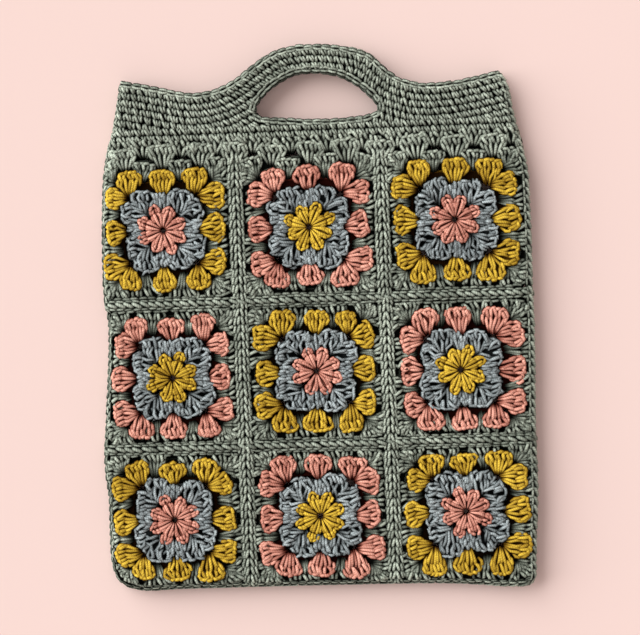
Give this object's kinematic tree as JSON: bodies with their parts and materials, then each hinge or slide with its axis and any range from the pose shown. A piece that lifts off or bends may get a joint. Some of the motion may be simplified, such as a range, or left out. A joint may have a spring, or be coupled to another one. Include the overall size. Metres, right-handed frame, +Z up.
{
  "type": "granny square bag",
  "caption": "Flat crocheted handbag of granny squares in sage, mustard, coral and dusty blue cotton, open at the top, with a cut-out arch handle in each wall.",
  "frame": {"origin": "under the middle of the bag, on the surface that it lies on", "axes": "+Z up out of the front wall, +Y from the bottom seam to the handles, +X to the right as seen from the front"},
  "size_m": [0.3279, 0.4093, 0.0168],
  "materials": {
    "sage_yarn": "matt plied cotton",
    "mustard_yarn": "matt plied cotton",
    "coral_yarn": "matt plied cotton",
    "dusty_blue_yarn": "matt plied cotton"
  },
  "bodies": {
    "root": {"front_r1c1_flower": "coral_yarn", "front_r1c1_inner_round": "dusty_blue_yarn", "front_r1c1_petal_round": "mustard_yarn", "front_r1c2_flower": "mustard_yarn", "front_r1c2_inner_round": "dusty_blue_yarn", "front_r1c2_petal_round": "coral_yarn", "front_r1c3_flower": "coral_yarn", "front_r1c3_inner_round": "dusty_blue_yarn", "front_r1c3_petal_round": "mustard_yarn", "front_r2c1_flower": "mustard_yarn", "front_r2c1_inner_round": "dusty_blue_yarn", "front_r2c1_petal_round": "coral_yarn", "front_r2c2_flower": "coral_yarn", "front_r2c2_inner_round": "dusty_blue_yarn", "front_r2c2_petal_round": "mustard_yarn", "front_r2c3_flower": "mustard_yarn", "front_r2c3_inner_round": "dusty_blue_yarn", "front_r2c3_petal_round": "coral_yarn", "front_r3c1_flower": "coral_yarn", "front_r3c1_inner_round": "dusty_blue_yarn", "front_r3c1_petal_round": "mustard_yarn", "front_r3c2_flower": "mustard_yarn", "front_r3c2_inner_round": "dusty_blue_yarn", "front_r3c2_petal_round": "coral_yarn", "front_r3c3_flower": "coral_yarn", "front_r3c3_inner_round": "dusty_blue_yarn", "front_r3c3_petal_round": "mustard_yarn", "front_border_net": "sage_yarn", "front_top_band": "sage_yarn", "back_r1c1_flower": "mustard_yarn", "back_r1c1_inner_round": "dusty_blue_yarn", "back_r1c1_petal_round": "coral_yarn", "back_r1c2_flower": "coral_yarn", "back_r1c2_inner_round": "dusty_blue_yarn", "back_r1c2_petal_round": "mustard_yarn", "back_r1c3_flower": "mustard_yarn", "back_r1c3_inner_round": "dusty_blue_yarn", "back_r1c3_petal_round": "coral_yarn", "back_r2c1_flower": "coral_yarn", "back_r2c1_inner_round": "dusty_blue_yarn", "back_r2c1_petal_round": "mustard_yarn", "back_r2c2_flower": "mustard_yarn", "back_r2c2_inner_round": "dusty_blue_yarn", "back_r2c2_petal_round": "coral_yarn", "back_r2c3_flower": "coral_yarn", "back_r2c3_inner_round": "dusty_blue_yarn", "back_r2c3_petal_round": "mustard_yarn", "back_r3c1_flower": "mustard_yarn", "back_r3c1_inner_round": "dusty_blue_yarn", "back_r3c1_petal_round": "coral_yarn", "back_r3c2_flower": "coral_yarn", "back_r3c2_inner_round": "dusty_blue_yarn", "back_r3c2_petal_round": "mustard_yarn", "back_r3c3_flower": "mustard_yarn", "back_r3c3_inner_round": "dusty_blue_yarn", "back_r3c3_petal_round": "coral_yarn", "back_border_net": "sage_yarn", "back_top_band": "sage_yarn", "edge_seam": "sage_yarn"}
  },
  "joints": []
}
